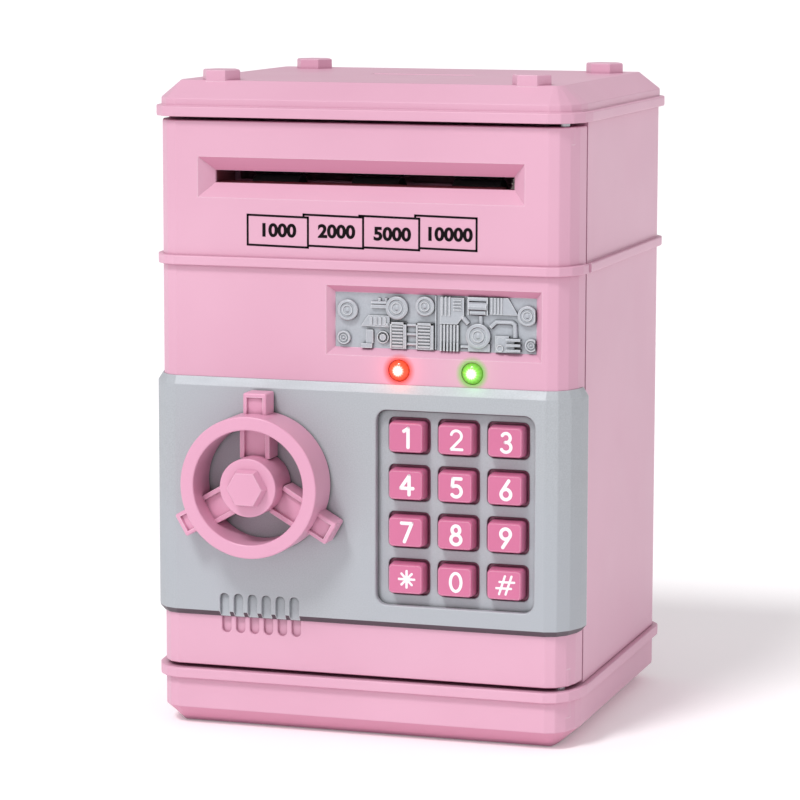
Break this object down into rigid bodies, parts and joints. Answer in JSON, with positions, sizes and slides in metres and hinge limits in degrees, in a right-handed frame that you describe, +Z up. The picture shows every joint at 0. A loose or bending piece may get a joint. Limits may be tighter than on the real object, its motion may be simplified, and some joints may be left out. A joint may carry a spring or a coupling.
{
  "type": "toy safe coin bank",
  "caption": "Toy safe coin bank with a wrap-round hinged door, a dial wheel with a cam latch, a number pad, a powered banknote slot, a coin slot in the lid and a battery box in the base.",
  "frame": {"origin": "middle of the base's underside, on the surface the bank stands on", "axes": "+Z up; the door faces -Y, so +X is on the viewer's right when looking at the door"},
  "size_m": [0.1286, 0.1262, 0.19],
  "materials": {
    "pink_shell": "satin moulded pink",
    "silver_plate": "satin silver paint on moulded plastic",
    "steel": "plated steel",
    "wheel_pink": "satin moulded pink",
    "key_pink": "satin moulded deep pink",
    "red_lens": "clear red lamp",
    "green_lens": "clear green lamp",
    "rubber": "matte",
    "board": "solder mask",
    "dark_plastic": "matte moulded black",
    "cell_wrap": "printed wrap",
    "gear_white": "moulded acetal"
  },
  "bodies": {
    "case": {"base": "pink_shell", "body_shell": "pink_shell", "top_lid": "pink_shell", "hinge_pins": "steel", "case_screws": "steel", "lid_screws": "steel", "battery_cover": "pink_shell", "battery_screw": "steel", "batteries": "cell_wrap", "battery_contacts": "steel"},
    "door": {"door_panel": "pink_shell", "silver_fascia": "silver_plate", "relief_plate": "silver_plate", "led_red": "red_lens", "led_green": "green_lens", "key_membrane": "rubber", "keypad_board": "board", "control_board": "board", "speaker": "dark_plastic", "feeder_frame": "dark_plastic", "feed_motor": "steel", "inner_cover": "pink_shell", "cover_screws": "steel", "solenoid": "steel"},
    "wheel": {"handwheel": "wheel_pink", "hub_cap": "wheel_pink", "knob_shaft": "steel", "shaft_clip": "steel", "lock_disc": "silver_plate", "latch_arm": "steel", "arm_nut": "steel"},
    "plunger": {"lock_plunger": "steel"},
    "feed_roll": {"feed_shaft": "steel", "feed_rollers": "rubber", "feed_gear": "gear_white"},
    "pinch_roll": {"pinch_shaft": "steel", "pinch_rollers": "rubber"},
    "pinion": {"motor_pinion": "gear_white"},
    "key_1": {"key_1": "key_pink"},
    "key_2": {"key_2": "key_pink"},
    "key_3": {"key_3": "key_pink"},
    "key_4": {"key_4": "key_pink"},
    "key_5": {"key_5": "key_pink"},
    "key_6": {"key_6": "key_pink"},
    "key_7": {"key_7": "key_pink"},
    "key_8": {"key_8": "key_pink"},
    "key_9": {"key_9": "key_pink"},
    "key_star": {"key_star": "key_pink"},
    "key_0": {"key_0": "key_pink"},
    "key_hash": {"key_hash": "key_pink"}
  },
  "joints": [
    {"name": "door_hinge", "type": "hinge", "parent": "case", "child": "door", "pos_m": [0.058, -0.0445, 0.1], "axis": [0, 0, 1], "range_deg": [0, 110]},
    {"name": "wheel_turn", "type": "hinge", "parent": "door", "child": "wheel", "pos_m": [-0.028, -0.05, 0.0734], "axis": [0, -1, 0], "range_deg": [0, 90]},
    {"name": "plunger_slide", "type": "slide", "parent": "door", "child": "plunger", "axis": [0, 0, -1], "range_m": [0, 0.003], "stiffness_N_per_m": 60, "springref_m": -0.002},
    {"name": "feed_turn", "type": "hinge", "parent": "door", "child": "feed_roll", "pos_m": [0, -0.032, 0.1546], "axis": [1, 0, 0], "continuous": true},
    {"name": "pinch_turn", "type": "hinge", "parent": "door", "child": "pinch_roll", "pos_m": [0, -0.032, 0.1639], "axis": [1, 0, 0], "continuous": true},
    {"name": "pinion_turn", "type": "hinge", "parent": "door", "child": "pinion", "pos_m": [0, -0.032, 0.14285], "axis": [1, 0, 0], "continuous": true},
    {"name": "key_1_press", "type": "slide", "parent": "door", "child": "key_1", "axis": [0, 1, 0], "range_m": [0, 0.0012], "stiffness_N_per_m": 400},
    {"name": "key_2_press", "type": "slide", "parent": "door", "child": "key_2", "axis": [0, 1, 0], "range_m": [0, 0.0012], "stiffness_N_per_m": 400},
    {"name": "key_3_press", "type": "slide", "parent": "door", "child": "key_3", "axis": [0, 1, 0], "range_m": [0, 0.0012], "stiffness_N_per_m": 400},
    {"name": "key_4_press", "type": "slide", "parent": "door", "child": "key_4", "axis": [0, 1, 0], "range_m": [0, 0.0012], "stiffness_N_per_m": 400},
    {"name": "key_5_press", "type": "slide", "parent": "door", "child": "key_5", "axis": [0, 1, 0], "range_m": [0, 0.0012], "stiffness_N_per_m": 400},
    {"name": "key_6_press", "type": "slide", "parent": "door", "child": "key_6", "axis": [0, 1, 0], "range_m": [0, 0.0012], "stiffness_N_per_m": 400},
    {"name": "key_7_press", "type": "slide", "parent": "door", "child": "key_7", "axis": [0, 1, 0], "range_m": [0, 0.0012], "stiffness_N_per_m": 400},
    {"name": "key_8_press", "type": "slide", "parent": "door", "child": "key_8", "axis": [0, 1, 0], "range_m": [0, 0.0012], "stiffness_N_per_m": 400},
    {"name": "key_9_press", "type": "slide", "parent": "door", "child": "key_9", "axis": [0, 1, 0], "range_m": [0, 0.0012], "stiffness_N_per_m": 400},
    {"name": "key_star_press", "type": "slide", "parent": "door", "child": "key_star", "axis": [0, 1, 0], "range_m": [0, 0.0012], "stiffness_N_per_m": 400},
    {"name": "key_0_press", "type": "slide", "parent": "door", "child": "key_0", "axis": [0, 1, 0], "range_m": [0, 0.0012], "stiffness_N_per_m": 400},
    {"name": "key_hash_press", "type": "slide", "parent": "door", "child": "key_hash", "axis": [0, 1, 0], "range_m": [0, 0.0012], "stiffness_N_per_m": 400}
  ],
  "couplings": [
    {"joint": "pinch_turn", "follows": "feed_turn", "ratio": -1.25},
    {"joint": "pinion_turn", "follows": "feed_turn", "ratio": -1.4737}
  ]
}
